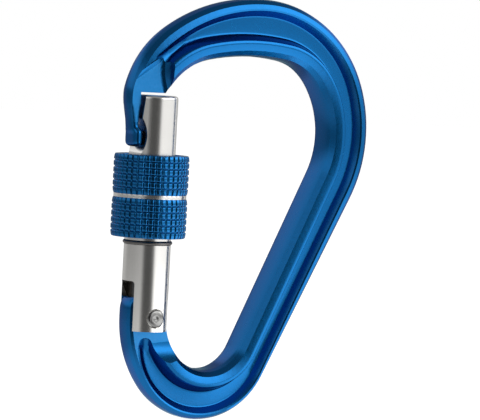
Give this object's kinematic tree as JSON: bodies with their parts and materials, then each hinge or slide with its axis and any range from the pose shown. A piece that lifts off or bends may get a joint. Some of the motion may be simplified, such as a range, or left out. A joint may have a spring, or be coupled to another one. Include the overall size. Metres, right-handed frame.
{
  "type": "locking carabiner",
  "caption": "Pear-shaped screw-gate carabiner: forged I-beam bow, snag-free nose, sprung tubular gate and a knurled screw sleeve",
  "frame": {"origin": "the highest point of the rope seat on the inside of the wide end, in the middle of its thickness", "axes": "+Z along the closed gate from hinge to nose, +X across the bow from gate to spine, +Y through its thickness"},
  "size_m": [0.0699, 0.0188, 0.106],
  "materials": {
    "frame_anodised": "blue anodised, satin over a tumbled forging",
    "gate_metal": "fine turned, clear satin",
    "rivet_steel": "peened stainless steel",
    "spring_steel": "drawn stainless wire",
    "follower_plastic": "black moulded",
    "ring_steel": "dark spring wire",
    "sleeve_anodised": "blue anodised and knurled, with a bare turned groove"
  },
  "bodies": {
    "bow": {"frame": "frame_anodised"},
    "gate": {"gate": "gate_metal", "gate_rivet": "rivet_steel", "gate_spring": "spring_steel"},
    "follower": {"spring_follower": "follower_plastic"},
    "ring": {"stop_ring": "ring_steel"},
    "sleeve": {"lock_sleeve": "sleeve_anodised"}
  },
  "joints": [
    {"name": "gate_hinge", "type": "hinge", "parent": "bow", "child": "gate", "pos_m": [-0.02515, 0, -0.0658], "axis": [0, 1, 0], "range_deg": [0, 26], "stiffness_Nm_per_rad": 0.5, "springref_deg": -17.19},
    {"name": "follower_slide", "type": "slide", "parent": "gate", "child": "follower", "axis": [0, 0, 1], "range_m": [0, 0.00105], "deforming": ["gate_spring"]},
    {"name": "sleeve_turn", "type": "hinge", "parent": "gate", "child": "ring", "pos_m": [-0.02565, 0, -0.0472], "axis": [0, 0, 1], "range_deg": [0, 1260]},
    {"name": "sleeve_travel", "type": "slide", "parent": "ring", "child": "sleeve", "axis": [0, 0, 1], "range_m": [0, 0.00875]}
  ],
  "couplings": [
    {"joint": "follower_slide", "follows": "gate_hinge", "m_per_rad": 0.00225},
    {"joint": "sleeve_turn", "follows": "sleeve_travel", "rad_per_m": 2512.5}
  ]
}
